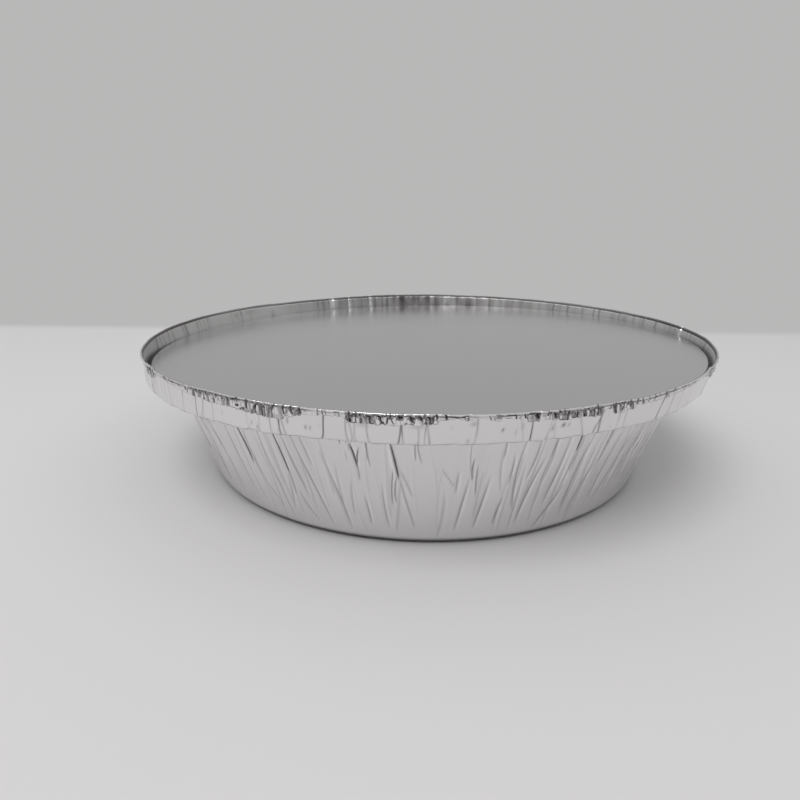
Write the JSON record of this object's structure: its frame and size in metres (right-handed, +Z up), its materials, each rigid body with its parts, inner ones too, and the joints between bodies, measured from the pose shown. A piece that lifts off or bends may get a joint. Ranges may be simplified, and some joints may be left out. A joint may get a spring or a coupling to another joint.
{
  "type": "round foil pan with board lid",
  "caption": "Shallow round foil pan with a creased sloping wall, a lid ledge, an upright flange with a rolled rim, and a flat board lid lying inside the flange.",
  "frame": {"origin": "centre of the base's underside, on the surface that the pan stands on", "axes": "+Z up through the middle of the pan; the picture looks along +Y, with +X to its right"},
  "size_m": [0.181, 0.181, 0.041],
  "materials": {
    "foil": "bright creased foil",
    "lid_laminate": "satin grey foil laminate on board"
  },
  "bodies": {
    "root": {"foil_pan": "foil", "board_lid": "lid_laminate"}
  },
  "joints": []
}
